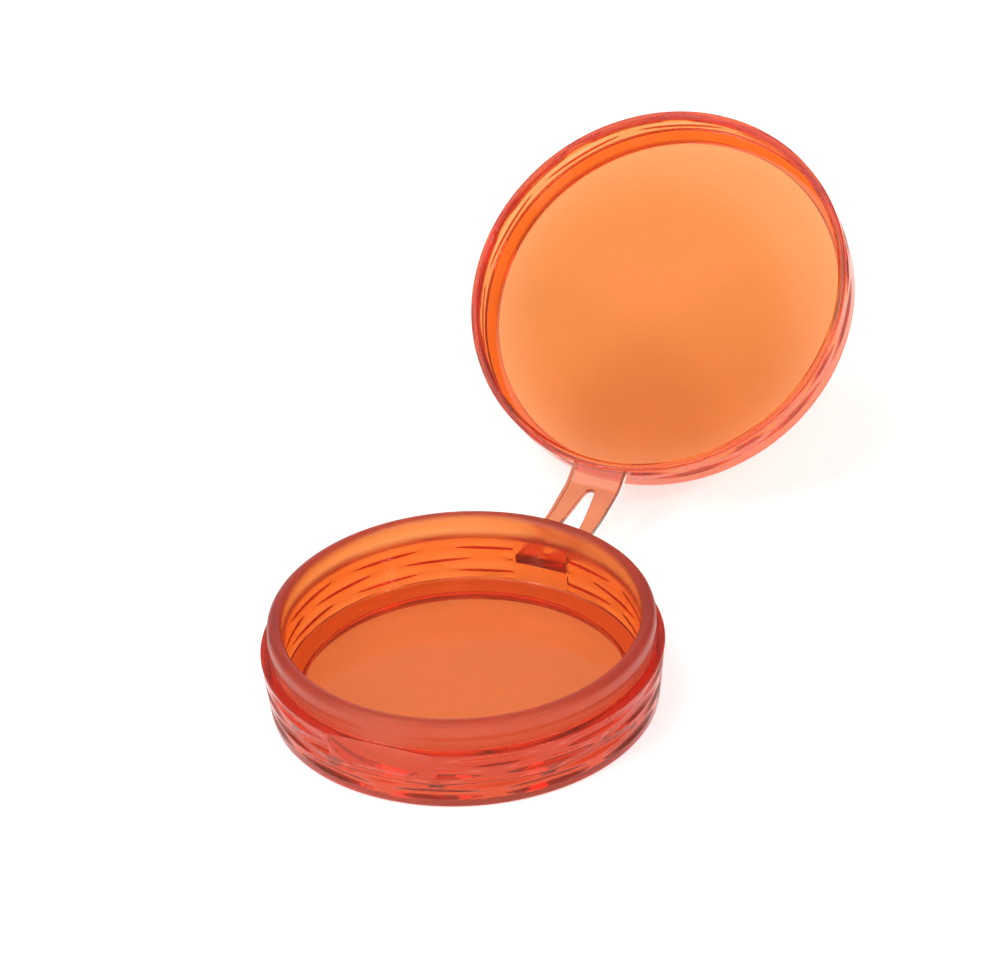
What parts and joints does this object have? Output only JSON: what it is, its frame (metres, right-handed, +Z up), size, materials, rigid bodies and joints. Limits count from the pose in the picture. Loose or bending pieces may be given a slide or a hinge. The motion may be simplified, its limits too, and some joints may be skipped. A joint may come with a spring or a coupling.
{
  "type": "round fly box",
  "caption": "Shallow round moulded box with a hinged press-on lid on a slotted flexible strap; translucent orange plastic, lid swung open.",
  "frame": {"origin": "centre of the underside of the cup's foot ring", "axes": "+Z up; +Y from the cup towards the strap and the lid; the thumb scoop is on the -Y side; +X to the right seen from the front"},
  "size_m": [0.0722, 0.1566, 0.0566],
  "materials": {
    "cup_plastic": "translucent orange plastic, outside and rim slightly frosted, inside smooth",
    "lid_plastic": "clear polished orange plastic",
    "strap_plastic": "translucent orange plastic, lightly frosted"
  },
  "bodies": {
    "base": {"base_cup": "cup_plastic", "base_tongue": "strap_plastic"},
    "strap": {"strap_link": "strap_plastic", "fold_web": "strap_plastic", "lid_web": "strap_plastic"},
    "lid": {"lid_tongue": "strap_plastic", "lid": "lid_plastic"}
  },
  "joints": [
    {"name": "strap_fold", "type": "hinge", "parent": "base", "child": "strap", "pos_m": [0, 0.04804, 0.00815], "axis": [1, 0, 0], "range_deg": [-5, 142.3]},
    {"name": "lid_hinge", "type": "hinge", "parent": "strap", "child": "lid", "pos_m": [0, 0.05663, 0.00993], "axis": [1, 0, 0], "range_deg": [-32.7, 0]}
  ]
}
